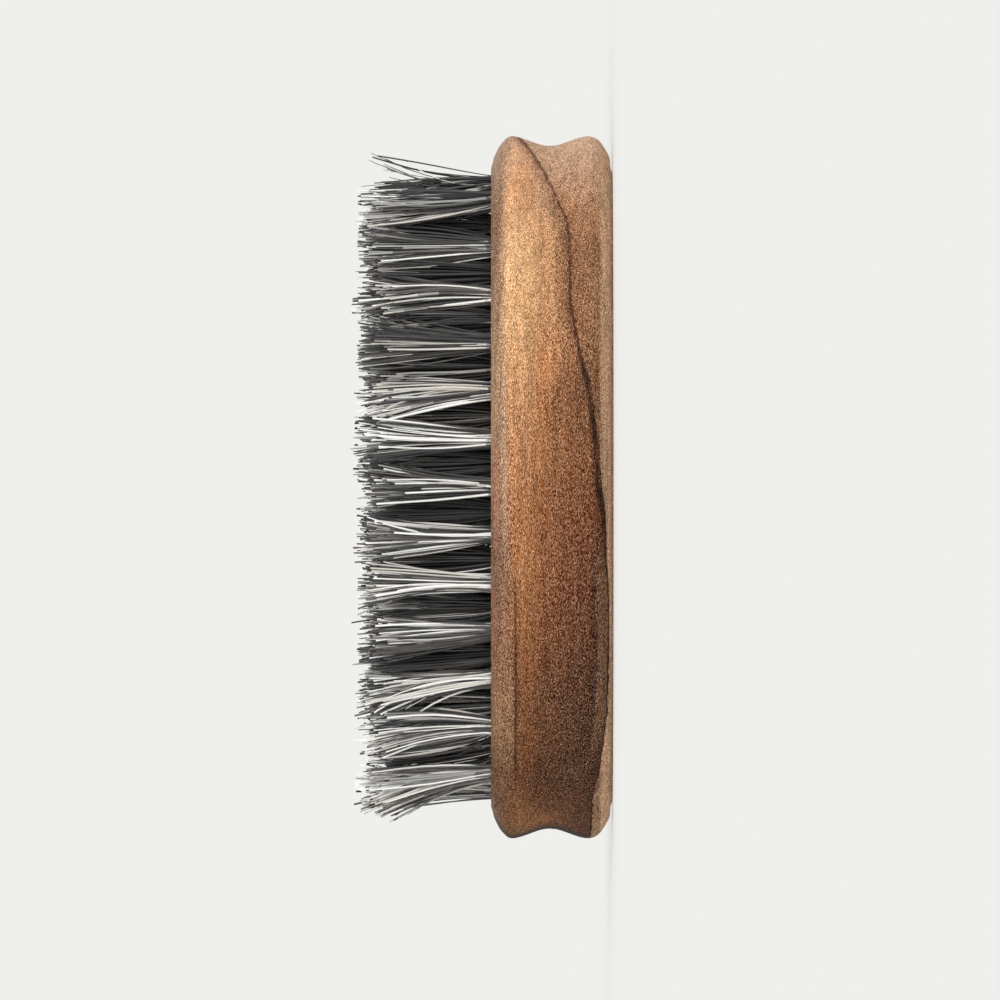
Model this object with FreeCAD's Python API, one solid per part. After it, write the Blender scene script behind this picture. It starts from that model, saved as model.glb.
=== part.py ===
"""Beard brush: an oval wooden block with rows of fibre tufts, each held by a flat wire anchor.

Millimetres. The brush stands on its flat wooden back at z = 0 with the fibres pointing to +Z.
X runs along the block, Y across it, and the origin is the middle of the back.
"""
import FreeCAD, Part
import math
import os

from FreeCAD import Vector

# --- wooden block -------------------------------------------------------------------------
BLOCK_LENGTH = 110.0
BLOCK_WIDTH = 36.0
BLOCK_THICKNESS = 19.0
OUTLINE_POWER = 2.2          # superellipse power of the oval outline: 2 would be an ellipse
OUTLINE_POINTS = 48          # points that each closed outline is drawn through

BACK_RIM_Z = 3.7             # height of the rim on the back's side of the finger groove
BACK_ROUND_INSET = 7.5       # how far a full rounding would reach in over the flat back
BACK_ROUND_POWER = 2.0       # 2 is a quarter ellipse
FACE_RIM_Z = 15.9            # height of the rim on the fibre side of the finger groove
FACE_ROUND_INSET = 6.0       # how far a full rounding would reach in over the fibre face
FACE_ROUND_POWER = 1.6       # below 2, so this edge is closer to a bevel
ROUND_END_ANGLE = 76.0       # the roundings stop here, so the flats start at a soft edge
SIDE_ROUND_SHARE = 0.8       # the roundings are tighter along the sides than at the tips
TIP_GROOVE_DEPTH = 1.5       # depth of the finger groove at the tips
SIDE_GROOVE_DEPTH = 2.0      # and along the sides
ROUND_STEPS = 5              # outlines drawn through each rounding
GROOVE_STEPS = 8             # outlines drawn through the finger groove
SURFACE_DEGREE = 3           # of the one smooth side surface drawn through all outlines

# --- holes and tufts ----------------------------------------------------------------------
ROW_PITCH = 7.46             # distance between neighbouring tufts of one lengthways row
OUTER_ROW = 3                # the lengthways rows are numbered from -3 to 3 across the block
OUTER_ROW_OFFSET = 11.0      # how far the outermost rows bow out at mid-length
FIELD_HALF_LENGTH = 47.4     # from mid-length to the middle of the end tufts
MIN_TUFT_SPACING = 4.0       # closer neighbours would leave too little wood between the holes
HOLE_DIAMETER = 3.0
HOLE_DEPTH = 9.0             # full-width depth, above the drill point
DRILL_POINT_ANGLE = 118.0
FIBRE_LENGTH = 20.7          # how far the fibres stand out of the wood
TUFT_CLEARANCE = 0.01        # between the packed fibres and the wall of the hole
TUFT_FOLD_RADIUS = 0.7       # the fibres turn back on themselves at the bottom of the hole
TUFT_WAIST_DIAMETER = 3.3    # the fibres spread from the mouth of the hole
TUFT_TIP_DIAMETER = 4.6      # to their tips

# --- anchors: short pieces of flat wire, driven across the folded fibres -------------------
ANCHOR_THICKNESS = 0.35
ANCHOR_HEIGHT = 1.6
ANCHOR_BITE = 0.25           # how far each end cuts into the wall of the hole
ANCHOR_LIFT = 1.1            # from the full-width bottom of the hole up to the anchor

HOLE_BOTTOM_Z = BLOCK_THICKNESS - HOLE_DEPTH


def outline_wire(height, tip_inset, side_inset):
    """Closed superellipse at one height, pulled in by tip_inset lengthways, side_inset across."""
    half_length = BLOCK_LENGTH / 2 - tip_inset
    half_width = BLOCK_WIDTH / 2 - side_inset
    points = []
    for step in range(OUTLINE_POINTS):
        angle = 2 * math.pi * step / OUTLINE_POINTS
        along = abs(math.cos(angle)) ** (2 / OUTLINE_POWER)
        across = abs(math.sin(angle)) ** (2 / OUTLINE_POWER)
        points.append(Vector(math.copysign(half_length * along, math.cos(angle)),
                             math.copysign(half_width * across, math.sin(angle)), height))
    curve = Part.BSplineCurve()
    curve.interpolate(Points=points, PeriodicFlag=True)
    return Part.Wire(curve.toShape())


def rounding(rim_height, flat_height, full_inset, power):
    """Outlines of one rounded edge, from the rim outwards to the flat, rim itself included."""
    end_angle = math.radians(ROUND_END_ANGLE)
    end_rise = math.sin(end_angle) ** (2 / power)
    wires = []
    for step in range(ROUND_STEPS + 1):
        angle = end_angle * step / ROUND_STEPS
        rise = math.sin(angle) ** (2 / power) / end_rise
        inset = full_inset * (1 - math.cos(angle) ** (2 / power))
        height = rim_height + (flat_height - rim_height) * rise
        wires.append(outline_wire(height, inset, inset * SIDE_ROUND_SHARE))
    return wires


def finger_groove():
    """Outlines between the two rims: the groove is deepest halfway and fades into each rim."""
    wires = []
    for step in range(1, GROOVE_STEPS):
        share = step / GROOVE_STEPS
        fade = math.sin(math.pi * share) ** 2
        height = BACK_RIM_Z + (FACE_RIM_Z - BACK_RIM_Z) * share
        wires.append(outline_wire(height, TIP_GROOVE_DEPTH * fade, SIDE_GROOVE_DEPTH * fade))
    return wires


def row_taper(along):
    """Share of its full bow that a lengthways row keeps at this distance from mid-length."""
    reach = min(1.0, abs(along) / FIELD_HALF_LENGTH)
    return (1 - reach ** OUTLINE_POWER) ** (1 / OUTLINE_POWER)


def row_places(row):
    """Centres of the tufts of one lengthways row. Even rows are shifted by half a pitch."""
    shift = 0.5 if row % 2 == 0 else 0.0
    count = int(FIELD_HALF_LENGTH / ROW_PITCH) + 1
    places = []
    for step in range(-count, count + 1):
        along = (step + shift) * ROW_PITCH
        if abs(along) > FIELD_HALF_LENGTH + ROW_PITCH / 4:
            continue
        along = math.copysign(min(abs(along), FIELD_HALF_LENGTH), along)
        places.append((along, OUTER_ROW_OFFSET * row / OUTER_ROW * row_taper(along)))
    return places


def tuft_places():
    """Centres of all tufts. Outer rows and the middle row come first; crowded places stay empty."""
    placed = []
    for row in (OUTER_ROW, -OUTER_ROW, 0, 2, -2, 1, -1):
        for along, across in row_places(row):
            if all(math.hypot(along - x, across - y) >= MIN_TUFT_SPACING for x, y in placed):
                placed.append((along, across))
    return placed


def cross_rows():
    """The tuft centres grouped by their place along the block, from the -X tip to the +X tip."""
    rows = {}
    for along, across in tuft_places():
        rows.setdefault(round(along, 3), []).append((along, across))
    return [sorted(rows[key], key=lambda place: place[1]) for key in sorted(rows)]


def revolved(profile_edges):
    """Solid of a half-profile in the XZ plane turned about the Z axis."""
    face = Part.Face(Part.Wire(profile_edges))
    return face.revolve(Vector(0, 0, 0), Vector(0, 0, 1), 360)


def line(start, end):
    """Straight edge between two (radius, height) points."""
    return Part.LineSegment(Vector(start[0], 0, start[1]), Vector(end[0], 0, end[1])).toShape()


def arc(start, middle, end):
    """Arc edge through three (radius, height) points."""
    corners = [Vector(radius, 0, height) for radius, height in (start, middle, end)]
    return Part.Arc(*corners).toShape()


def hole_tool():
    """Shape of one drilled hole, with its drill point, at the origin's X and Y."""
    radius = HOLE_DIAMETER / 2
    point_depth = radius / math.tan(math.radians(DRILL_POINT_ANGLE / 2))
    above = BLOCK_THICKNESS + 1
    corners = [(0, HOLE_BOTTOM_Z - point_depth), (radius, HOLE_BOTTOM_Z), (radius, above), (0, above)]
    return revolved([line(corners[i], corners[(i + 1) % len(corners)]) for i in range(len(corners))])


def anchor():
    """Flat wire anchor lying across one hole, its ends in the wood."""
    width = HOLE_DIAMETER + 2 * ANCHOR_BITE
    corner = Vector(-ANCHOR_THICKNESS / 2, -width / 2, HOLE_BOTTOM_Z + ANCHOR_LIFT)
    return Part.makeBox(ANCHOR_THICKNESS, width, ANCHOR_HEIGHT, corner)


def tuft():
    """One folded bundle: packed in the hole, round below the anchor, spreading above the wood."""
    radius = HOLE_DIAMETER / 2 - TUFT_CLEARANCE
    fold = TUFT_FOLD_RADIUS
    bend = fold * (1 - math.sqrt(0.5))
    tip_z = BLOCK_THICKNESS + FIBRE_LENGTH
    waist = (TUFT_WAIST_DIAMETER / 2, BLOCK_THICKNESS + FIBRE_LENGTH / 2)
    tip = (TUFT_TIP_DIAMETER / 2, tip_z)
    edges = [
        line((0, HOLE_BOTTOM_Z), (radius - fold, HOLE_BOTTOM_Z)),
        arc((radius - fold, HOLE_BOTTOM_Z), (radius - bend, HOLE_BOTTOM_Z + bend),
            (radius, HOLE_BOTTOM_Z + fold)),
        line((radius, HOLE_BOTTOM_Z + fold), (radius, BLOCK_THICKNESS)),
        line((radius, BLOCK_THICKNESS), waist),
        line(waist, tip),
        line(tip, (0, tip_z)),
        line((0, tip_z), (0, HOLE_BOTTOM_Z)),
    ]
    return revolved(edges).cut(anchor())


def moved(shape, place):
    """Copy of a shape made at the middle of the block, moved to one tuft's place."""
    return shape.translated(Vector(place[0], place[1], 0))


def block():
    """The wooden block: one lofted body with all holes drilled and the anchors' bites cut."""
    back = rounding(BACK_RIM_Z, 0.0, BACK_ROUND_INSET, BACK_ROUND_POWER)
    face = rounding(FACE_RIM_Z, BLOCK_THICKNESS, FACE_ROUND_INSET, FACE_ROUND_POWER)
    outlines = back[::-1] + finger_groove() + face
    solid, ruled, closed = True, False, False
    body = Part.makeLoft(outlines, solid, ruled, closed, SURFACE_DEGREE)
    hole = hole_tool().fuse(anchor())
    return body.cut(Part.makeCompound([moved(hole, place) for place in tuft_places()]))


def save(shape, node):
    """Write one node's STEP file."""
    shape.exportStep("parts/" + node + ".step")


def main():
    """Build and save every node."""
    os.makedirs("parts", exist_ok=True)
    save(block(), "block")
    one_tuft = tuft()
    one_anchor = anchor()
    for number, places in enumerate(cross_rows(), start=1):
        save(Part.makeCompound([moved(one_tuft, place) for place in places]),
             "tuft_row_%02d" % number)
        save(Part.makeCompound([moved(one_anchor, place) for place in places]),
             "anchor_row_%02d" % number)


main()
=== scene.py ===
"""Looks of the beard brush, built round its CAD frame. Lengths are in metres.

The wooden block and the wire anchors are the CAD nodes with better materials. Each cross row of
tufts is replaced by its loose fibres, one mesh per row.
"""
import math

import bpy
import numpy as np
from mathutils import Matrix, Vector


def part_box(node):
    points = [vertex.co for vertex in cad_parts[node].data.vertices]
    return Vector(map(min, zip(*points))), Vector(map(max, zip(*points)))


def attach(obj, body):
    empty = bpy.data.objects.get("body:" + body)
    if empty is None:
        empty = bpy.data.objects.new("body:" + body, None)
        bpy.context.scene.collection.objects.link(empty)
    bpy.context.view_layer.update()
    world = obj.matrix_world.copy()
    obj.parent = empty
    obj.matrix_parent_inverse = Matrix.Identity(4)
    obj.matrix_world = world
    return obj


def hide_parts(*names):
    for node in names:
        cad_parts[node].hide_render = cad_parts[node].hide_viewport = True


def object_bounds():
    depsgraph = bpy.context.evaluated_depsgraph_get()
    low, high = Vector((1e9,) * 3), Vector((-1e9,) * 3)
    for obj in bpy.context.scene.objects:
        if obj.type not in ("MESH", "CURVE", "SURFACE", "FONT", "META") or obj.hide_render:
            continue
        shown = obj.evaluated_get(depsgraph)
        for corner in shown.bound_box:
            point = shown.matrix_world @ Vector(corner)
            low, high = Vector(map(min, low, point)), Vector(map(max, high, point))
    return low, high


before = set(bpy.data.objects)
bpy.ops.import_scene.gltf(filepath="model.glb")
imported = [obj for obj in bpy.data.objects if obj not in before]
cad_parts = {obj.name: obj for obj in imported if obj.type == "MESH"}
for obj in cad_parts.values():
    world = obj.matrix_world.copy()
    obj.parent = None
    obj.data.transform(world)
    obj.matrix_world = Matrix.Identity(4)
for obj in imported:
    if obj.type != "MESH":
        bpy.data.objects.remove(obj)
cad_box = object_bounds()

MM = 0.001
SEED_SHIFT = 7                              # so that the first letters of a name count too
BLOCK_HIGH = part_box("block")[1]
FACE_Z = BLOCK_HIGH.z                       # the wooden face that the fibres stand on
TIP_Z = cad_box[1].z                        # the height that the fibres are cut to
HALF_LENGTH = BLOCK_HIGH.x
HALF_WIDTH = BLOCK_HIGH.y
TUFT_NODES = sorted(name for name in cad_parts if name.startswith("tuft_row"))
ANCHOR_NODES = sorted(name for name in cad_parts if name.startswith("anchor_row"))

# --- tufts --------------------------------------------------------------------------------
# "along" is a tuft's place over half the block's length: -1 at the -X tip, 1 at the +X tip
FACE_TOLERANCE = 0.05 * MM                  # of points that lie on the wooden face
TUFT_GAP = 0.7 * MM                         # at least this far apart in Y in one cross row
FIELD_POWER = 2.2                           # superellipse power of the oval field of tufts
EDGE_START = 0.75                           # the edge of the field begins at this share
EDGE_DEPTH = 0.2                            # and is complete this much farther out
END_TUFTS = 0.82                            # along, beyond which only the +X end tufts stand
ROOT_RADIUS = 1.46 * MM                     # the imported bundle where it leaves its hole
ROOT_DEPTH = 1.2 * MM                       # how deep the modelled fibres reach into the hole
INNER_FIBRES = 80                           # fibres of a tuft in the middle of the brush
OUTER_FIBRES = 90                           # and of one at its edge
LOCKS = 9                                   # fibres of a tuft cling together in locks
SPREAD = 2.55                               # tip radius of a tuft over its root radius
TIP_EVENNESS = 0.3                          # more opens the middle of a tuft at its tips

# --- fibre shapes -------------------------------------------------------------------------
# A pair of rows is a value that changes along the brush, as "along" and the value there. Two
# numbers are a random range, and two scatters are one shared by a lock and a fibre's own.
LEVELS = np.array([0.0, 0.035, 0.09, 0.24, 0.40, 0.57, 0.78, 1.0])  # sections, share of height
SLIDES = np.array([0, 0.02, 0.06, 0.09, 0.09, 0.09, 0.09, 0])       # each may slide this far
RINGS = len(LEVELS) + 2                     # sections, with the buried root and the cut end
CORNERS = 4                                 # of a fibre's flat section
TIP_LEAN = 4.4 * MM                         # outward lean at the -X tip, less towards the middle
TIP_LEAN_LIMIT = -48.0 * MM                 # x that no tuft leans past
END_LEAN = ((0.75, 0.81, 0.86), (0.0, -1.3 * MM, -1.9 * MM))    # the +X end tufts lean back in
SIDE_LEAN = 1.2 * MM                        # outward lean of the long sides
LEAN_SCATTER = 0.4 * MM
TIP_SCATTER = (0.45 * MM, 0.30 * MM)
BOW_SCATTER = (0.27 * MM, 0.16 * MM)
HEIGHT_SCATTER = (0.9 * MM, 1.15 * MM)
TUFT_DROP = (1.2 * MM, 2.3 * MM)            # how far tufts stay below the cut
INNER_DROP = 1.0 * MM                       # inner tufts are lower by this
SIDE_DROP = 1.2 * MM                        # and so are the sides of each tuft
HIGHEST = (-0.1 * MM, 1.2 * MM)             # over the cut, for each tuft's highest fibres
STRAY_SHARE = ((-0.86, -0.75, 0.75, 0.86), (0.0, 0.045, 0.045, 0.12))
STRAY_REACH = 2.6 * MM                      # how far the tips of strays move at the most
LOOSE_REACH = 1.5 * MM                      # scatter of the strays that stand off at the +X end
SHORT_SHARE = 0.035
SHORT_HEIGHT = (0.6, 0.93)                  # share of their height that short fibres keep
OPENING = (0.45, 0.80)                      # power of height by which a fibre spreads
LATE_OPENING = (0.75, 1.0)                  # added for tufts that stay parallel for longer
STRAY_OPENING = (0.4, 1.2)                  # added for strays
END_STRAY_OPENING = 1.7                     # times that at the +X end
LATE_POWER = 8                              # of the edge share: only the outermost tufts
LATE_SHARE = ((0.7, 0.8), (1.0, 0.2))       # the +X end tufts open almost at once
EARLY_DEPTH = 0.6 * MM                      # the other tufts open from below the wooden face
WAVE_SCATTER = 0.09 * MM
WAVE_ANGLE = 6.0                            # radians of wave from root to tip
CUT_LENGTH = (0.3 * MM, 1.0 * MM)           # length of the cut end
HALF_WIDE = (0.14 * MM, 0.25 * MM)          # half the long side of a fibre's flat section
HALF_THIN = (0.065 * MM, 0.10 * MM)         # and half the short side
TURN_SCATTER = (1.8, 0.6)                   # radians, in the middle and at the edge of the brush
TWIST_SCATTER = 0.5                         # radians
TAPER = 0.4                                 # loss of width towards the tip
TAPER_POWER = 3

# --- fibre colours --------------------------------------------------------------------------
FIBRE_KINDS = (
    # from pale to dark: name, colour, roughness, share at the edge of the brush, share inside it
    ("fibre_white", (0.91, 0.905, 0.885), 0.42, 0.40, 0.02),
    ("fibre_cream", (0.66, 0.63, 0.585), 0.45, 0.09, 0.02),
    ("fibre_silver", (0.37, 0.365, 0.36), 0.42, 0.10, 0.04),
    ("fibre_taupe", (0.140, 0.128, 0.120), 0.46, 0.05, 0.08),
    ("fibre_dark", (0.092, 0.088, 0.086), 0.44, 0.12, 0.30),
    ("fibre_black", (0.066, 0.066, 0.069), 0.40, 0.32, 0.52),
)
CUT_END = ("fibre_cut_end", (0.022, 0.018, 0.016), 0.6)
FIRST_DARK = 3                              # the kinds from here on are dark
CUT_END_SHARE = 0.25                        # fibres whose cut end shows dark
PALENESS = ((-0.85, -0.5, -0.25, 0.25, 0.85), (4.0, 2.4, 0.64, 0.51, 0.62))  # of pale shares
PALENESS_SCATTER = (0.75, 1.25)
LOCK_COLOUR_SHARE = 0.5                     # fibres that take the colour of their lock
FLANK_START = 0.62                          # share of the radius where a tuft's flanks begin
SHADED_FLANK_SHARE = 0.5                           # fibres of the flanks that are darker, a painted shade between tufts
FLANK_SHADE_STEP = 3                              # and by how many kinds
SHADED_ROOTS_FROM = -0.25                     # along: from here on roots carry painted shade near the wood, darker by up to this many kinds, and nearer the -X end by up to this many
ROOT_SHADE_STEPS = 2                         # this many kinds, and nearer the -X end by up to
FEWER_ROOT_SHADE_STEPS = 1                        # this many
PALE_TOP_SHARE = 0.35                       # dark fibres that grow paler upwards
PALE_TOP_STEPS = 2                          # by up to this many kinds
ROOT_STRETCHES = 2                          # stretches between sections, counted from the root, that get the full painted root shade
PALE_STRETCH = 6                            # the paler ones start here
PALEST_STRETCH = 7

# --- wood -----------------------------------------------------------------------------------
# Millimetres, and shares of the length from the -X tip. "Over" is the height over the boundary
# between sapwood and heartwood. A step is where it starts and ends, then its value before and
# after, which is 0 and 1 where not given. A line is its full and its faded half width and its
# strength. A noise is its stretch along each axis, size, detail and roughness. Tones are linear.
CURVE_SPAN = 20.0                           # the height that a curve's output of 1 stands for
BOUNDARY_HEIGHT = (                         # share of the length, height of the boundary
    (0.0, 2.8), (0.06, 2.7), (0.11, 1.7), (0.16, 0.92), (0.22, 0.64), (0.36, 0.64), (0.40, 0.90),
    (0.46, 1.14), (0.51, 1.9), (0.56, 2.3), (0.63, 3.44), (0.70, 5.16), (0.76, 6.3), (0.86, 6.6),
    (0.91, 8.5), (0.95, 10.4), (1.0, 14.0))
BOUNDARY_TILT = 0.04                        # its slope across the block
WOBBLE = ((5.0, 1.0, 1.0), 1.4)
WOBBLE_SPAN = 0.6
FINE_WOBBLE = ((3.0, 1.0, 1.0), 0.5)
FINE_WOBBLE_SPAN = 0.5
SAPWARD = (-0.12, 0.12, 1.0, 0.0)           # over, from sapwood to heartwood

LOW_HEART = (                               # share of the length, tone of the heartwood; the paler last stop at the +X tip is a painted highlight
    (0.0, (0.225, 0.088, 0.034)), (0.10, (0.148, 0.056, 0.019)), (0.22, (0.172, 0.065, 0.024)),
    (0.33, (0.272, 0.098, 0.037)), (0.48, (0.400, 0.153, 0.059)), (0.56, (0.520, 0.225, 0.088)),
    (0.67, (0.439, 0.190, 0.076)), (0.73, (0.437, 0.214, 0.098)), (0.86, (0.494, 0.256, 0.122)),
    (1.0, (0.540, 0.356, 0.238)))
HIGH_HEART = (                              # and its tone higher up, with the same painted highlight at the +X tip
    (0.0, (0.220, 0.098, 0.036)), (0.10, (0.154, 0.054, 0.018)), (0.20, (0.190, 0.072, 0.026)),
    (0.28, (0.260, 0.100, 0.036)), (0.38, (0.348, 0.143, 0.054)), (0.48, (0.400, 0.168, 0.068)),
    (0.65, (0.535, 0.270, 0.126)), (0.73, (0.632, 0.348, 0.162)), (0.83, (0.640, 0.368, 0.182)),
    (0.93, (0.563, 0.277, 0.135)), (1.0, (0.566, 0.345, 0.213)))
HIGH_HEART_RISE = (10.6, 13.6)              # height, from the low tones to the high ones
DARK_ZONE_HEIGHT = (                        # over, where the dark zone ends
    (0.0, 6.8), (0.03, 8.4), (0.09, 15.2), (0.14, 13.6), (0.38, 13.2), (0.58, 11.6), (0.70, 4.2),
    (0.78, 3.2), (1.0, 3.4))
DARK_ZONE_LIGHT = (                         # share of the dark zone, share of the plain tone
    (0.0, 0.0), (0.2, 0.05), (0.38, 0.12), (0.55, 0.25), (0.75, 0.57), (0.87, 0.84), (1.0, 0.93))
LEAST_LIGHT = (                             # share of the length, least share of the plain tone
    (0.0, 0.0), (0.60, 0.0), (0.67, 0.22), (0.72, 0.46), (0.80, 0.44), (0.87, 0.48), (0.93, 0.84),
    (1.0, 0.90))
DARK_ZONE_TINT = (0.285, 0.245, 0.225, 1.0)  # multiplies the plain tone
STRIP_START = (0.11, 0.17)                  # a greyer strip runs beside the boundary from here
STRIP_END = (0.36, 0.44, 1.0, 0.0)          # to here
STRIP_FADE = (1.6, 2.4, 0.75, 0.0)          # over: how high it reaches
STRIP_TONE = (0.168, 0.082, 0.042, 1.0)
STRIP_LINE_OVER = 2.3                       # its upper edge is a dark line
STRIP_LINE = (0.0, 0.4, 0.6)

# share of the length, tone of the sapwood; the paler last stop at the +X tip is a painted highlight
SAP = (
    (0.0, (0.300, 0.190, 0.120)), (0.15, (0.190, 0.105, 0.062)), (0.45, (0.187, 0.100, 0.060)),
    (0.70, (0.257, 0.127, 0.064)), (0.83, (0.255, 0.124, 0.061)), (0.90, (0.333, 0.172, 0.089)),
    (1.0, (0.490, 0.315, 0.208)))
SAP_SHADE = (-5.5, -0.5)                    # over: sapwood is darker towards the boundary
SAP_SHADE_END = (0.88, 0.94, 1.0, 0.2)      # but hardly at the +X tip
SAP_SHADE_TINT = (0.83, 0.74, 0.64, 1.0)

FLANGE_SHADE_AND_REFLECTION = (                                  # painted shade and reflection: a greyer, darker band round the fibre side, paler at the +X tip as a painted highlight
    (0.05, (0.112, 0.043, 0.015)), (0.10, (0.105, 0.048, 0.021)), (0.16, (0.195, 0.100, 0.049)),
    (0.30, (0.188, 0.085, 0.044)), (0.40, (0.172, 0.081, 0.045)), (0.50, (0.272, 0.135, 0.075)),
    (0.60, (0.320, 0.180, 0.102)), (0.72, (0.292, 0.170, 0.098)), (0.88, (0.210, 0.112, 0.067)),
    (1.0, (0.315, 0.198, 0.124)))
FLANGE_HEIGHT = (                           # share of the length, height where it begins
    (0.0, 14.4), (0.35, 14.8), (0.55, 15.4), (0.70, 16.0), (0.86, 16.0), (1.0, 15.0))
FLANGE_RISE = (0.0, 1.9)                    # and where it is complete above that
STREAK_HEIGHT = 16.9                        # a thin pale streak along the middle of that wood
STREAK_SWAY = 0.6                           # how much of the wobble it follows
STREAK = (0.1, 0.65, 0.42)
STREAK_START = (0.36, 0.46)
STREAK_END = (0.62, 0.74, 1.0, 0.35)
STREAK_TONE = (0.450, 0.285, 0.180, 1.0)

BACK = ((0.0, (0.188, 0.102, 0.062)), (1.0, (0.305, 0.181, 0.102)))  # from tip to tip
BACK_RISE = (0.0, 0.12, 1.0, 0.0)           # height, only on the flat back
BACK_NOISE = ((3.0, 1.0, 1.0), 6.0)         # makes the oval rings wander
BACK_NOISE_SPAN = 7.0
BACK_RING_RATE = 3.2                        # radians of ring per millimetre
BACK_RING_SHADE = (-0.3, 1.0, 1.05, 0.72)
RIM_START = (0.0, 0.15)                     # height of the pale band round the rim of the back: partly a real sapwood strip, partly a painted highlight on the rounded rim
RIM_END = (1.6, 2.4, 0.9, 0.0)
RIM_SAP_AND_HIGHLIGHT_TONE = (0.515, 0.315, 0.185, 1.0)

DARK_LINE_TONE = (0.026, 0.014, 0.009, 1.0)
BOUNDARY_WIDTH = (                          # the line is broader where it nears the back
    (0.0, 0.14), (0.36, 0.16), (0.44, 0.40), (0.50, 0.54), (0.60, 0.46), (0.70, 0.28), (0.77, 0.21),
    (1.0, 0.24))
BOUNDARY_LINE_SHIFT = 0.9                   # in widths, up into the heartwood
BOUNDARY_LINE = (0.4, 1.6, 0.92)            # in widths
BOUNDARY_LINE_FADE = (0.66, 0.80, 1.0, 0.72)
BREAKS = ((8.0, 1.0, 1.0), 0.35, 2.0)       # the line is fainter in places
BREAKS_STEP = (0.36, 0.56, 0.45, 1.0)
STAIN_FADE = (0.2, 2.2, 0.75, 0.0)          # over: heartwood is stained just above the line
STAIN_EDGE = (-0.3, 0.0)
STAIN_START = (0.60, 0.68)
STAIN_TINT = (0.42, 0.30, 0.27, 1.0)
SECOND_HEIGHT = 15.2                        # a faint line along the upper edge of the groove
SECOND_SWAY = 0.5
SECOND_LINE = (0.0, 0.42, 0.72)
SECOND_START = (0.05, 0.13, 0.2, 1.0)
SECOND_END = (0.30, 0.42, 1.0, 0.0)
SLANT_SLOPE = 0.75                          # slanting growth lines across the -X tip
SLANT_SHIFT = 25.8                          # moves them along the tip
SLANT_PITCH = 6.8                           # height from one to the next
SLANT_LINE = (0.97, 1.0, 0.0, 0.6)
SLANT_END = (0.05, 0.10, 1.0, 0.0)
OUTLINE_SHADE_SIDE = (2.0, 5.0, 1.0, 0.0)       # painted shade: a dark band along the outline of the -X tip, where the surface turns away from the light
OUTLINE_SHADE_END = (0.02, 0.05, 0.95, 0.0)
OUTLINE_SHADE_EDGE = (-0.1, 0.8)
OUTLINE_SHADE_TONE = (0.006, 0.003, 0.002, 1.0)

LAYERS = ((26.0, 5.0, 3.0), 1.0, 1.0)       # growth layers
LAYERS_SPAN = 9.0
LAYERS_SLOPE = 0.8                          # how fast they follow each other across the grain
LAYERS_RATE = 2.0                           # radians of layer per millimetre
LAYERS_SHADE = (0.2, 1.0, 1.0, 0.86)
STREAKS = ((30.0, 1.0, 1.0), 0.6, 3.0, 0.7)
STREAKS_SHADE = (0.3, 0.7, 0.78, 1.19)
FLECKS = ((3.4, 1.0, 1.0), 0.09, 1.0, 0.5)
FLECKS_SPAN = 1.42                          # brightness from the darkest fleck to the palest
FLECKS_ON_LINES = (0.0, 1.0, 1.0, 0.35)     # the dark lines show fewer flecks
FLECKS_ROUGHNESS = (0.3, 0.7, 0.60, 0.46)
PORES = ((7.0, 1.0, 1.0), 0.14, 1.0)
PORES_SHADE = (0.58, 0.70, 1.0, 0.60)
FLECKS_GAMMA = 2.2                          # flecks are added to gamma-coded colour
DARKEST = (0.03, 0.02, 0.01, 1.0)           # and make it no darker than this
BUMP_STRENGTH = 0.3
BUMP_HEIGHT = 0.05 * MM                     # relief of the flecks and pores
WOOD_GLOSS = 0.03

# --- wire -----------------------------------------------------------------------------------
WIRE_MARKS = ((1.0, 12.0, 1.0), 0.06)
WIRE_TONES = ((0.35, (0.44, 0.44, 0.43)), (0.65, (0.62, 0.62, 0.60)))
WIRE_ROUGHNESS = 0.38

# --- room -----------------------------------------------------------------------------------
FLOOR_REACH = 40.0                          # from the middle to each edge of the floor
FLOOR = ("pale_floor", (0.360, 0.3583, 0.353), 1.0, 0.0, 0.38)  # colour, roughness, gloss, glow
GLOW_COLOUR = (1.0, 0.997, 0.98, 1.0)
FIBRE_GLOSS = 0.25
ROOM_COLOUR = (0.862, 0.862, 0.838, 1.0)
SUNS = (
    # name, direction that it comes from, strength, softness in degrees, colour
    ("key", (0.50, -0.75, 0.45), 1.6, 40, (1.0, 0.99, 0.97)),
    ("fill", (-0.6, -0.5, 0.6), 0.8, 60, (1.0, 1.0, 1.0)),
    ("back", (-0.1, 0.75, 0.65), 0.5, 60, (1.0, 1.0, 1.0)),
)
VIEW_WIDTH = 156.7 * MM                     # what the camera sees across the middle of the brush
VIEW_CENTRE = Vector((-2.0 * MM, 0.0, 17.6 * MM))
LENS = 300.0                                # a long lens, in millimetres like its sensor
SENSOR_WIDTH = 36.0
CLIP_START = 0.05
CLIP_END = 20.0


def random_for(name):
    """Repeatable random numbers of a piece's own."""
    seed = sum(ord(letter) * (place + SEED_SHIFT) for place, letter in enumerate(name))
    return np.random.default_rng(seed)


def plain_material(name, colour, roughness, gloss=FIBRE_GLOSS, glow=0.0):
    """An even colour, set on the shader itself, with a glow for the floor."""
    material = bpy.data.materials.new(name)
    material.use_nodes = True
    shader = material.node_tree.nodes["Principled BSDF"]
    shader.inputs["Base Color"].default_value = (*colour, 1.0)
    shader.inputs["Roughness"].default_value = roughness
    shader.inputs["Specular IOR Level"].default_value = gloss
    shader.inputs["Emission Color"].default_value = GLOW_COLOUR
    shader.inputs["Emission Strength"].default_value = glow
    return material


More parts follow.
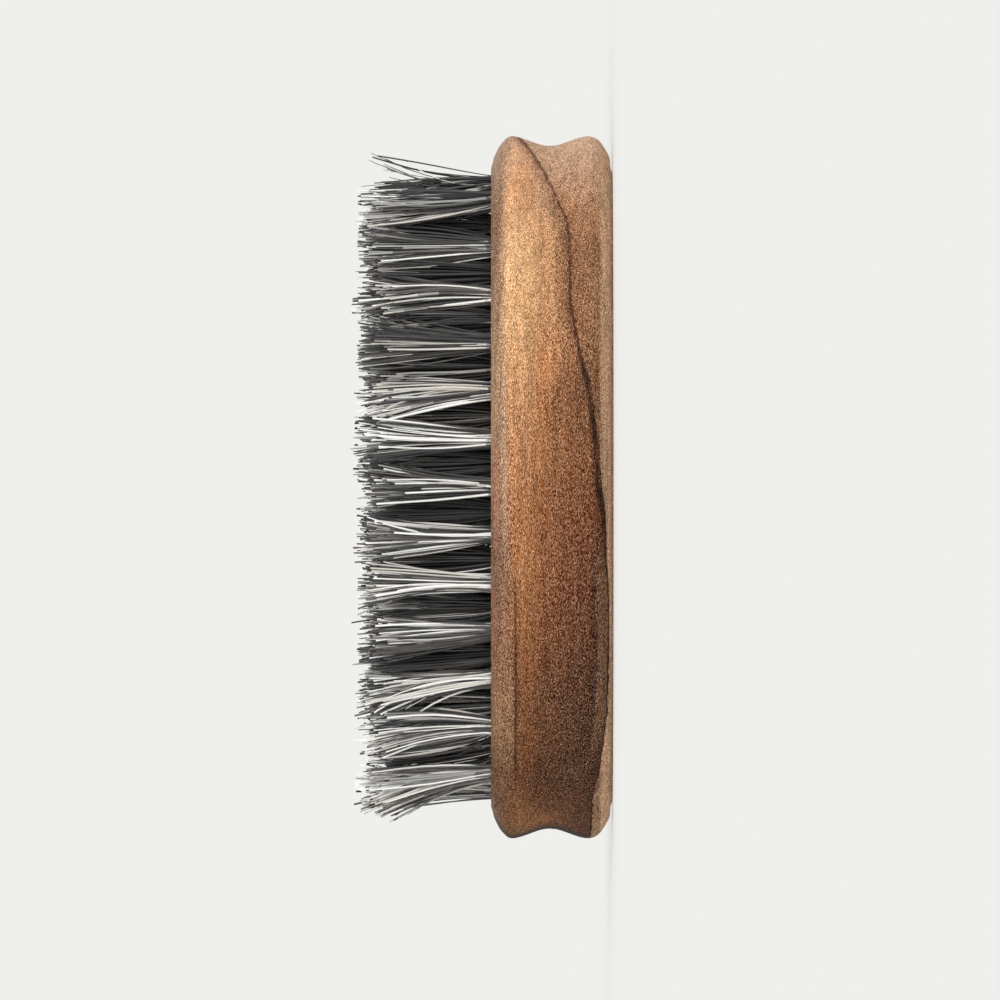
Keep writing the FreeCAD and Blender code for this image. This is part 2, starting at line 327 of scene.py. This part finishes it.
def tuft_centres(node):
    """(x, y) of each tuft of one CAD node, read from the circles where they leave the wood."""
    points = np.array([v.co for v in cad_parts[node].data.vertices])
    rims = points[np.abs(points[:, 2] - FACE_Z) < FACE_TOLERANCE]
    rims = rims[np.argsort(rims[:, 1])]
    gaps = np.nonzero(np.diff(rims[:, 1]) > TUFT_GAP)[0] + 1
    return [(group[:, 0].min() / 2 + group[:, 0].max() / 2,
             group[:, 1].min() / 2 + group[:, 1].max() / 2) for group in np.split(rims, gaps)]


TUFTS = {node: tuft_centres(node) for node in TUFT_NODES}
FIELD_LENGTH = max(abs(x) for centres in TUFTS.values() for x, _ in centres)
FIELD_WIDTH = max(abs(y) for centres in TUFTS.values() for _, y in centres)


def edge_share(centre):
    """0 for a tuft in the middle of the brush, 1 for one in the outermost ring."""
    oval = abs(centre[0] / FIELD_LENGTH) ** FIELD_POWER + abs(centre[1] / FIELD_WIDTH) ** FIELD_POWER
    return min(1.0, max(0.0, (oval - EDGE_START) / EDGE_DEPTH))


class Tuft:
    """The loose fibres of one tuft. The steps run in this order and share one random source."""

    def __init__(self, rng, centre):
        self.rng = rng
        self.centre = centre
        self.edge = edge_share(centre)
        self.along = centre[0] / HALF_LENGTH
        self.count = int(round(INNER_FIBRES + (OUTER_FIBRES - INNER_FIBRES) * self.edge))
        self.gather()
        self.aim()
        self.trim()
        self.loosen()
        self.path = self.bend()
        self.half, self.turn = self.sections()
        self.shades = self.stretch_shades(self.kinds())

    def scatter(self, spread, *shape):
        """Random numbers round zero."""
        return self.rng.normal(0, spread, shape)

    def lock_scatter(self, spreads, *shape):
        """Random numbers round zero for each fibre, partly shared by the fibres of a lock."""
        shared, own = spreads
        return self.scatter(shared, LOCKS, *shape)[self.lock] + self.scatter(own, self.count, *shape)

    def some(self, share):
        """A random choice of about this share of the fibres."""
        return self.rng.uniform(0, 1, self.count) < share

    def gather(self):
        """Roots packed in the round hole, and the lock that each fibre belongs to."""
        angle = self.rng.uniform(0, 2 * math.pi, self.count)
        self.reach = np.sqrt(self.rng.uniform(0, 1, self.count))
        direction = np.stack([np.cos(angle), np.sin(angle)], 1)
        self.root = direction * (self.reach * ROOT_RADIUS)[:, None]
        seeds = self.root[self.rng.choice(self.count, LOCKS, replace=False)]
        self.lock = np.argmin(((self.root[:, None] - seeds[None]) ** 2).sum(2), 1)

    def aim(self):
        """Tips spread from the roots; the -X end and the long sides lean outward."""
        x, y = self.centre
        lean = np.interp(self.along, *END_LEAN) if self.along > 0 else -TIP_LEAN * self.along ** 2
        lean = np.maximum(x + lean, TIP_LEAN_LIMIT) - x
        lean = np.array([lean, SIDE_LEAN * y / HALF_WIDTH]) + self.scatter(LEAN_SCATTER, 2)
        spread = self.root * SPREAD * (self.reach ** -TIP_EVENNESS)[:, None]
        self.tip = spread + lean + self.lock_scatter(TIP_SCATTER, 2)
        self.bow = self.lock_scatter(BOW_SCATTER, 2)

    def trim(self):
        """Heights of the cut: inner tufts and the sides of each tuft are a little lower."""
        full = TIP_Z - FACE_Z
        drop = self.rng.uniform(*TUFT_DROP) + (1 - self.edge) * INNER_DROP + SIDE_DROP * self.reach ** 2
        height = full + self.lock_scatter(HEIGHT_SCATTER) - drop
        self.height = np.minimum(height, full + self.rng.uniform(*HIGHEST))

    def loosen(self):
        """Strays that leave their tuft, and short fibres."""
        self.stray = self.some(np.interp(self.along, *STRAY_SHARE))
        self.strays = int(self.stray.sum())
        self.tip[self.stray] += self.rng.uniform(-STRAY_REACH, STRAY_REACH, (self.strays, 2))
        if self.along > END_TUFTS:
            loose = ROOT_RADIUS * SPREAD + self.rng.uniform(-LOOSE_REACH, LOOSE_REACH, self.strays)
            self.tip[self.stray, 0] = np.maximum(self.tip[self.stray, 0], loose)
        short = self.some(SHORT_SHARE)
        self.height[short] *= self.rng.uniform(*SHORT_HEIGHT, int(short.sum()))

    def bend(self):
        """Points of each fibre; inner tufts open at once, outer ones stay parallel for longer."""
        rng, count = self.rng, self.count
        late = self.edge ** LATE_POWER * np.interp(self.along, *LATE_SHARE)
        opening = rng.uniform(*OPENING, count) + late * rng.uniform(*LATE_OPENING, count)
        strength = END_STRAY_OPENING if self.along > END_TUFTS else 1.0
        opening[self.stray] += rng.uniform(*STRAY_OPENING, self.strays) * strength
        early = (1 - late) * EARLY_DEPTH
        wave = self.scatter(WAVE_SCATTER, count, 2)
        phase = rng.uniform(0, 2 * math.pi, count)
        cut = rng.uniform(*CUT_LENGTH, count)
        slide = rng.uniform(-1, 1, (count, 1)) * SLIDES
        z = np.empty((count, RINGS))
        z[:, 0] = -ROOT_DEPTH
        z[:, 1:-1] = (self.height - cut)[:, None] * (LEVELS + slide)
        z[:, -1] = self.height
        above = np.clip((z + early) / (self.height[:, None] + early), 0, 1)
        share = above ** opening[:, None]
        path = np.empty((count, RINGS, 3))
        for axis in (0, 1):
            straight = self.root[:, axis, None] + (self.tip - self.root)[:, axis, None] * share
            curve = self.bow[:, axis, None] * np.sin(math.pi * above)
            ripple = wave[:, axis, None] * np.sin(WAVE_ANGLE * above + phase[:, None]) * above
            path[:, :, axis] = self.centre[axis] + straight + curve + ripple
        path[:, :, 2] = FACE_Z + z
        return path

    def sections(self):
        """Half width and half thickness of each fibre, and its turn at the root and twist."""
        rng, count = self.rng, self.count
        half = np.stack([rng.uniform(*HALF_WIDE, count), rng.uniform(*HALF_THIN, count)], 1)
        outward = math.atan2(self.centre[1] / FIELD_WIDTH ** 2, self.centre[0] / FIELD_LENGTH ** 2)
        spread = TURN_SCATTER[0] + (TURN_SCATTER[1] - TURN_SCATTER[0]) * self.edge
        turn = rng.normal(outward + math.pi / 2, spread, count)
        return half, np.stack([turn, rng.normal(0, TWIST_SCATTER, count)], 1)

    def kinds(self):
        """Kind of each fibre: paler towards the -X end, and darker on the flanks that face the
        neighbouring tufts along the brush, as painted shade between tufts.
        """
        rng = self.rng
        paleness = np.interp(self.along, *PALENESS) * rng.uniform(*PALENESS_SCATTER)
        chance = np.array([inner + (outer - inner) * self.edge for *_, outer, inner in FIBRE_KINDS])
        chance[:FIRST_DARK] *= paleness
        chance = chance / chance.sum()
        lock_kind = rng.choice(len(FIBRE_KINDS), LOCKS, p=chance)
        own_kind = rng.choice(len(FIBRE_KINDS), self.count, p=chance)
        kind = np.where(self.some(LOCK_COLOUR_SHARE), lock_kind[self.lock], own_kind)
        # painted shade between tufts: some fibres on the flanks towards the neighbours along X are
        # darker
        flank = np.abs(self.root[:, 0]) > FLANK_START * ROOT_RADIUS
        kind[flank & self.some(SHADED_FLANK_SHARE)] += FLANK_SHADE_STEP
        return kind

    def stretch_shades(self, kind):
        """Kind of each stretch of each fibre: darker at the root as painted shade near the wood, and
        some dark fibres pale upwards.
        """
        rng, count = self.rng, self.count
        deepest_root_shade = ROOT_SHADE_STEPS if self.along > SHADED_ROOTS_FROM else FEWER_ROOT_SHADE_STEPS
        shades = np.repeat(kind[:, None], RINGS - 1, axis=1)
        # painted shade near the wood: the root stretches are darker by a few kinds, the next one by up
        # to one
        shades[:, :ROOT_STRETCHES] += rng.integers(0, deepest_root_shade + 1, (count, 1))
        shades[:, ROOT_STRETCHES] += rng.integers(0, 2, count)
        pale = (kind >= FIRST_DARK) & self.some(PALE_TOP_SHARE)
        shades[pale, PALE_STRETCH:] -= rng.integers(0, PALE_TOP_STEPS + 1, (int(pale.sum()), 1))
        shades[pale, PALEST_STRETCH:] -= 1
        return np.clip(shades, 0, len(FIBRE_KINDS) - 1)


def ribbon_mesh(name, path, half, turn, shades):
    """One mesh of closed, flat, slightly twisted fibres with a four-cornered section."""
    count, rings, _ = path.shape
    tangent = np.gradient(path, axis=1)
    tangent /= np.linalg.norm(tangent, axis=2, keepdims=True)
    share = np.linspace(0, 1, rings)[None]
    angle = turn[:, 0, None] + turn[:, 1, None] * share
    wide = np.stack([np.cos(angle), np.sin(angle), np.zeros_like(angle)], 2)
    wide -= tangent * (wide * tangent).sum(2, keepdims=True)
    wide /= np.linalg.norm(wide, axis=2, keepdims=True)
    thin = np.cross(tangent, wide)
    taper = 1 - TAPER * share[:, :, None] ** TAPER_POWER
    wide = wide * half[:, 0, None, None] * taper
    thin = thin * half[:, 1, None, None] * taper
    corners = np.stack([path + wide, path + thin, path - wide, path - thin], 2)
    points = corners.reshape(-1, 3)

    first = (np.arange(count) * rings * CORNERS)[:, None, None]
    ring = (np.arange(rings - 1) * CORNERS)[None, :, None]
    side = np.arange(CORNERS)[None, None, :]
    low = first + ring + side
    low_next = first + ring + (side + 1) % CORNERS
    quads = np.stack([low, low_next, low_next + CORNERS, low + CORNERS], 3).reshape(-1, 4)
    base = first[:, 0] + np.arange(CORNERS)[None, ::-1]
    top = first[:, 0] + (rings - 1) * CORNERS + np.arange(CORNERS)[None]
    faces = np.concatenate([quads, base, top])
    slots = np.concatenate([np.repeat(shades.reshape(-1), CORNERS), shades[:, 0], shades[:, -1]])

    mesh = bpy.data.meshes.new(name)
    mesh.from_pydata(points.tolist(), [], faces.tolist())
    mesh.polygons.foreach_set("material_index", slots.astype(np.int32))
    mesh.polygons.foreach_set("use_smooth", np.ones(len(faces), bool))
    mesh.update()
    return mesh


def fibre_row(node, materials):
    """The loose fibres of one cross row of tufts, in place of its CAD solids."""
    name = node.replace("tuft", "fibres")
    rng = random_for(name)
    tufts = [Tuft(rng, centre) for centre in TUFTS[node]]
    path = np.concatenate([tuft.path for tuft in tufts])
    half = np.concatenate([tuft.half for tuft in tufts])
    turn = np.concatenate([tuft.turn for tuft in tufts])
    shades = np.concatenate([tuft.shades for tuft in tufts])
    shades[rng.uniform(0, 1, len(shades)) < CUT_END_SHARE, -1] = len(FIBRE_KINDS)
    piece = bpy.data.objects.new(name, ribbon_mesh(name, path, half, turn, shades))
    bpy.context.scene.collection.objects.link(piece)
    for material in materials:
        piece.data.materials.append(material)
    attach(piece, "root")
    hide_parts(node)
    return piece


class NodeTree:
    """Short calls for wiring a procedural material."""

    def __init__(self, name):
        self.material = bpy.data.materials.new(name)
        self.material.use_nodes = True
        self.tree = self.material.node_tree
        self.shader = self.tree.nodes["Principled BSDF"]

    def feed(self, socket, value):
        """Link a socket, or set a constant, on an input."""
        if isinstance(value, bpy.types.NodeSocket):
            self.tree.links.new(value, socket)
        else:
            socket.default_value = value

    def maths(self, operation, *values):
        """Math node."""
        node = self.tree.nodes.new("ShaderNodeMath")
        node.operation = operation
        for socket, value in zip(node.inputs, values):
            self.feed(socket, value)
        return node.outputs[0]

    def product(self, first, *others):
        """All values multiplied."""
        for value in others:
            first = self.maths("MULTIPLY", first, value)
        return first

    def centred(self, value, span):
        """A value from 0 to 1 stretched to a span round zero."""
        return self.maths("MULTIPLY_ADD", value, span, -span / 2)

    def position(self):
        """Object coordinates in millimetres: (vector, x, y, z)."""
        place = self.tree.nodes.new("ShaderNodeTexCoord").outputs["Object"]
        scale = self.tree.nodes.new("ShaderNodeVectorMath")
        scale.operation = "SCALE"
        self.feed(scale.inputs[0], place)
        scale.inputs["Scale"].default_value = 1 / MM
        split = self.tree.nodes.new("ShaderNodeSeparateXYZ")
        self.feed(split.inputs[0], scale.outputs[0])
        return (scale.outputs[0], *split.outputs)

    def noise(self, vector, stretch, size, detail=2.0, roughness=0.5):
        """Noise with features about size mm across, stretched along each axis."""
        scale = self.tree.nodes.new("ShaderNodeVectorMath")
        scale.operation = "MULTIPLY"
        self.feed(scale.inputs[0], vector)
        scale.inputs[1].default_value = [1.0 / (size * part) for part in stretch]
        node = self.tree.nodes.new("ShaderNodeTexNoise")
        self.feed(node.inputs["Vector"], scale.outputs[0])
        node.inputs["Scale"].default_value = 1.0
        node.inputs["Detail"].default_value = detail
        node.inputs["Roughness"].default_value = roughness
        return node.outputs["Fac"]

    def smooth(self, value, low, high, first=0.0, last=1.0):
        """first below low, last above high, and a soft step between."""
        node = self.tree.nodes.new("ShaderNodeMapRange")
        node.interpolation_type = "SMOOTHSTEP"
        for socket, part in zip(node.inputs, (value, low, high, first, last)):
            self.feed(socket, part)
        return node.outputs["Result"]

    def line(self, distance, full, faded, strength):
        """Soft line: at its full strength to one half width, gone at the other."""
        return self.smooth(self.maths("ABSOLUTE", distance), full, faded, strength, 0.0)

    def curve(self, value, points):
        """Smooth curve through (input, output) points, all from 0 to 1."""
        node = self.tree.nodes.new("ShaderNodeFloatCurve")
        places = node.mapping.curves[0].points
        places[0].location = points[0]
        places[-1].location = points[-1]
        for point in points[1:-1]:
            places.new(*point)
        node.mapping.update()
        self.feed(node.inputs["Value"], value)
        return node.outputs["Value"]

    def ramp(self, value, stops):
        """Colour ramp through (place, colour) stops."""
        node = self.tree.nodes.new("ShaderNodeValToRGB")
        elements = node.color_ramp.elements
        elements[0].position, elements[0].color = stops[0][0], (*stops[0][1], 1.0)
        elements[1].position, elements[1].color = stops[-1][0], (*stops[-1][1], 1.0)
        for place, colour in stops[1:-1]:
            element = elements.new(place)
            element.color = (*colour, 1.0)
        self.feed(node.inputs[0], value)
        return node.outputs["Color"]

    def gamma(self, colour, power):
        """Each part of a colour raised to a power."""
        node = self.tree.nodes.new("ShaderNodeGamma")
        self.feed(node.inputs["Color"], colour)
        node.inputs["Gamma"].default_value = power
        return node.outputs[0]

    def mix(self, share, first, second, blend="MIX"):
        """Mix of two colours."""
        node = self.tree.nodes.new("ShaderNodeMix")
        node.data_type = "RGBA"
        node.blend_type = blend
        self.feed(node.inputs[0], share)
        self.feed(node.inputs[6], first)
        self.feed(node.inputs[7], second)
        return node.outputs[2]

    def tinted(self, colour, tint):
        """A colour multiplied by another."""
        return self.mix(1.0, colour, tint, "MULTIPLY")


class OiledWood(NodeTree):
    """Two-tone wood: greyer sapwood on the back's side, a dark wavy line, orange-brown heartwood."""

    def __init__(self):
        super().__init__("oiled_wood")
        self.place, self.x, self.y, self.z = self.position()
        self.along = self.maths("MULTIPLY_ADD", self.x, 0.5 / (HALF_LENGTH / MM), 0.5)
        self.wobble = self.centred(self.noise(self.place, *WOBBLE), WOBBLE_SPAN)
        self.over = self.over_boundary()
        self.sapward = self.smooth(self.over, *SAPWARD)
        self.boundary_line = self.dark_boundary()
        self.second_line = self.upper_line()

    def height_curve(self, points):
        """Smooth curve through (share of the length, millimetres) points."""
        shares = [(share, height / CURVE_SPAN) for share, height in points]
        return self.maths("MULTIPLY", self.curve(self.along, shares), CURVE_SPAN)

    def over_boundary(self):
        """Height over the boundary between sapwood and heartwood."""
        tilt = self.maths("MULTIPLY_ADD", self.y, BOUNDARY_TILT, BOUNDARY_TILT * HALF_WIDTH / MM)
        over = self.maths("SUBTRACT", self.z, self.height_curve(BOUNDARY_HEIGHT))
        over = self.maths("SUBTRACT", over, tilt)
        over = self.maths("ADD", over, self.wobble)
        fine = self.centred(self.noise(self.place, *FINE_WOBBLE), FINE_WOBBLE_SPAN)
        return self.maths("ADD", over, fine)

    def swaying_line(self, height, sway, line):
        """A soft line at one height that follows some of the boundary's wobble."""
        middle = self.maths("MULTIPLY_ADD", self.wobble, sway, height)
        return self.line(self.maths("SUBTRACT", self.z, middle), *line)

    def dark_boundary(self):
        """Strength of the line along the boundary, broader where it nears the back."""
        widths = self.maths("DIVIDE", self.over, self.curve(self.along, BOUNDARY_WIDTH))
        line = self.line(self.maths("SUBTRACT", widths, BOUNDARY_LINE_SHIFT), *BOUNDARY_LINE)
        breaks = self.smooth(self.noise(self.place, *BREAKS), *BREAKS_STEP)
        return self.product(line, self.smooth(self.along, *BOUNDARY_LINE_FADE), breaks)

    def upper_line(self):
        """Strength of the second line, only on the -X half."""
        line = self.swaying_line(SECOND_HEIGHT, SECOND_SWAY, SECOND_LINE)
        return self.product(line, self.smooth(self.along, *SECOND_END),
                            self.smooth(self.along, *SECOND_START))

    def heartwood(self):
        """Heartwood: darkest beside the boundary, with a greyer strip along part of it."""
        plain = self.mix(self.smooth(self.z, *HIGH_HEART_RISE),
                         self.ramp(self.along, LOW_HEART), self.ramp(self.along, HIGH_HEART))
        depth = self.maths("DIVIDE", self.over, self.height_curve(DARK_ZONE_HEIGHT))
        light = self.maths("MAXIMUM", self.curve(depth, DARK_ZONE_LIGHT),
                           self.curve(self.along, LEAST_LIGHT))
        colour = self.mix(light, self.tinted(plain, DARK_ZONE_TINT), plain)
        strip = self.product(self.smooth(self.along, *STRIP_START), self.smooth(self.along, *STRIP_END))
        beside = self.product(strip, self.smooth(self.over, *STRIP_FADE))
        colour = self.mix(beside, colour, STRIP_TONE)
        edge = self.line(self.maths("SUBTRACT", self.over, STRIP_LINE_OVER), *STRIP_LINE)
        return self.mix(self.product(strip, edge), colour, DARK_LINE_TONE)

    def sapwood(self):
        """Sapwood: darker towards the boundary, except at the +X end."""
        plain = self.ramp(self.along, SAP)
        shade = self.product(self.smooth(self.over, *SAP_SHADE), self.smooth(self.along, *SAP_SHADE_END))
        return self.mix(shade, plain, self.tinted(plain, SAP_SHADE_TINT))

    def with_flange(self, colour):
        """Adds painted shade and reflection as a greyer, darker band round the fibre side, with its pale
        streak.
        """
        above = self.maths("SUBTRACT", self.z, self.height_curve(FLANGE_HEIGHT))
        colour = self.mix(self.smooth(above, *FLANGE_RISE), colour, self.ramp(self.along, FLANGE_SHADE_AND_REFLECTION))
        streak = self.swaying_line(STREAK_HEIGHT, STREAK_SWAY, STREAK)
        streak = self.product(streak, self.smooth(self.along, *STREAK_START),
                              self.smooth(self.along, *STREAK_END))
        return self.mix(streak, colour, STREAK_TONE)

    def with_back(self, colour):
        """Adds the oval growth rings of the flat back and the pale band round its rim, partly sapwood
        and partly a painted highlight.
        """
        oval = self.maths("MULTIPLY", self.x, HALF_WIDTH / HALF_LENGTH)
        oval = self.maths("ADD", self.product(oval, oval), self.product(self.y, self.y))
        oval = self.maths("SQRT", oval)
        noise = self.noise(self.place, *BACK_NOISE)
        rings = self.maths("MULTIPLY_ADD", noise, BACK_NOISE_SPAN, oval)
        rings = self.maths("SINE", self.maths("MULTIPLY", rings, BACK_RING_RATE))
        back = self.tinted(self.ramp(self.along, BACK), self.smooth(rings, *BACK_RING_SHADE))
        colour = self.mix(self.smooth(self.z, *BACK_RISE), colour, back)
        # painted highlight on the rounded rim of the back, over a real pale sapwood strip
        rim = self.product(self.smooth(self.z, *RIM_START), self.smooth(self.z, *RIM_END), self.sapward)
        return self.mix(rim, colour, RIM_SAP_AND_HIGHLIGHT_TONE)

    def with_lines(self, colour):
        """Adds the stain beside the boundary, its dark line and the second line."""
        stain = self.product(self.smooth(self.over, *STAIN_FADE), self.smooth(self.over, *STAIN_EDGE),
                             self.smooth(self.along, *STAIN_START))
        colour = self.mix(stain, colour, self.tinted(colour, STAIN_TINT))
        colour = self.mix(self.boundary_line, colour, DARK_LINE_TONE)
        return self.mix(self.second_line, colour, DARK_LINE_TONE)

    def with_slants_and_outline_shade(self, colour):
        """Adds the slanting growth lines of the -X tip, and painted shade along its outline."""
        slant = self.maths("MULTIPLY_ADD", self.x, SLANT_SLOPE, SLANT_SHIFT)
        slant = self.maths("ADD", slant, self.z)
        slant = self.maths("COSINE", self.maths("MULTIPLY", slant, 2 * math.pi / SLANT_PITCH))
        slant = self.product(self.smooth(slant, *SLANT_LINE), self.smooth(self.along, *SLANT_END))
        colour = self.mix(slant, colour, DARK_LINE_TONE)
        # painted shade along the outline of the -X tip, on the heartwood side
        grain = self.smooth(self.maths("ABSOLUTE", self.y), *OUTLINE_SHADE_SIDE)
        grain = self.product(grain, self.smooth(self.along, *OUTLINE_SHADE_END),
                             self.smooth(self.over, *OUTLINE_SHADE_EDGE))
        return self.mix(grain, colour, OUTLINE_SHADE_TONE)

    def with_figure(self, colour, flecks, pores):
        """Adds growth layers, long streaks, and the flecks and pores that cover the surface."""
        layers = self.maths("MULTIPLY", self.noise(self.place, *LAYERS), LAYERS_SPAN)
        slope = self.maths("MULTIPLY", self.maths("ADD", self.z, self.y), LAYERS_SLOPE)
        layers = self.maths("MULTIPLY", self.maths("ADD", layers, slope), LAYERS_RATE)
        colour = self.tinted(colour, self.smooth(self.maths("SINE", layers), *LAYERS_SHADE))
        streaks = self.noise(self.place, *STREAKS)
        colour = self.tinted(colour, self.smooth(streaks, *STREAKS_SHADE))
        lines = self.maths("MAXIMUM", self.boundary_line, self.second_line)
        grain = self.product(self.centred(flecks, FLECKS_SPAN), self.smooth(lines, *FLECKS_ON_LINES))
        colour = self.gamma(colour, 1 / FLECKS_GAMMA)
        colour = self.mix(1.0, colour, grain, "ADD")
        colour = self.mix(1.0, colour, DARKEST, "LIGHTEN")
        colour = self.gamma(colour, FLECKS_GAMMA)
        return self.tinted(colour, pores)


def wood_material():
    """The block's wood: colour, roughness and the fine relief of its grain."""
    wood = OiledWood()
    flecks = wood.noise(wood.place, *FLECKS)
    pores = wood.smooth(wood.noise(wood.place, *PORES), *PORES_SHADE)
    colour = wood.mix(wood.sapward, wood.heartwood(), wood.sapwood())
    colour = wood.with_flange(colour)
    colour = wood.with_back(colour)
    colour = wood.with_lines(colour)
    colour = wood.with_slants_and_outline_shade(colour)
    colour = wood.with_figure(colour, flecks, pores)

    wood.feed(wood.shader.inputs["Base Color"], colour)
    wood.feed(wood.shader.inputs["Roughness"], wood.smooth(flecks, *FLECKS_ROUGHNESS))
    bump = wood.tree.nodes.new("ShaderNodeBump")
    bump.inputs["Strength"].default_value = BUMP_STRENGTH
    bump.inputs["Distance"].default_value = BUMP_HEIGHT
    wood.feed(bump.inputs["Height"], wood.maths("MULTIPLY", flecks, pores))
    wood.feed(wood.shader.inputs["Normal"], bump.outputs[0])
    wood.shader.inputs["Specular IOR Level"].default_value = WOOD_GLOSS
    return wood.material


def wire_material():
    """Drawn flat steel wire with fine lengthways drawing marks."""
    wire = NodeTree("drawn_wire")
    marks = wire.noise(wire.position()[0], *WIRE_MARKS)
    wire.feed(wire.shader.inputs["Base Color"], wire.ramp(marks, WIRE_TONES))
    wire.shader.inputs["Metallic"].default_value = 1.0
    wire.shader.inputs["Roughness"].default_value = WIRE_ROUGHNESS
    return wire.material


def dress(node, material):
    """A better material on a CAD node that keeps its shape."""
    for material_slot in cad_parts[node].material_slots:
        material_slot.link = "OBJECT"
        material_slot.material = material


def sun(name, toward, strength, softness, colour):
    """Even soft light that comes from a direction."""
    light = bpy.data.lights.new(name, "SUN")
    light.energy = strength
    light.angle = math.radians(softness)
    light.color = colour
    holder = bpy.data.objects.new(name, light)
    holder.rotation_euler = Vector(toward).to_track_quat("Z", "Y").to_euler()
    bpy.context.scene.collection.objects.link(holder)


def studio():
    """Pale floor, pale surroundings of the same brightness, and soft lights."""
    mesh = bpy.data.meshes.new("floor")
    corners = [(x * FLOOR_REACH, y * FLOOR_REACH, 0) for x, y in ((-1, -1), (1, -1), (1, 1), (-1, 1))]
    mesh.from_pydata(corners, [], [(0, 1, 2, 3)])
    floor = bpy.data.objects.new("floor", mesh)
    bpy.context.scene.collection.objects.link(floor)
    mesh.materials.append(plain_material(*FLOOR))

    world = bpy.data.worlds.new("pale_room")
    bpy.context.scene.world = world
    world.use_nodes = True
    background = world.node_tree.nodes["Background"]
    background.inputs["Color"].default_value = ROOM_COLOUR
    background.inputs["Strength"].default_value = 1.0
    for light in SUNS:
        sun(*light)


def camera():
    """Square-on view of the long side, the brush upright with its fibres to the left."""
    lens = bpy.data.cameras.new("camera")
    lens.lens = LENS
    lens.sensor_width = SENSOR_WIDTH
    lens.clip_start = CLIP_START
    lens.clip_end = CLIP_END
    distance = VIEW_WIDTH * LENS / SENSOR_WIDTH
    holder = bpy.data.objects.new("camera", lens)
    right, up, back = Vector((0, 0, -1)), Vector((1, 0, 0)), Vector((0, -1, 0))
    turned = Matrix((right, up, back)).transposed().to_4x4()
    holder.matrix_world = Matrix.Translation(VIEW_CENTRE + back * distance) @ turned
    bpy.context.scene.collection.objects.link(holder)
    bpy.context.scene.camera = holder


def main():
    """Dress the CAD nodes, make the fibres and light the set."""
    camera()
    studio()
    dress("block", wood_material())
    wire = wire_material()
    for node in ANCHOR_NODES:
        dress(node, wire)
    materials = [plain_material(*kind[:3]) for kind in FIBRE_KINDS] + [plain_material(*CUT_END)]
    for node in TUFT_NODES:
        fibre_row(node, materials)
    bpy.context.scene.view_settings.view_transform = "Standard"


main()
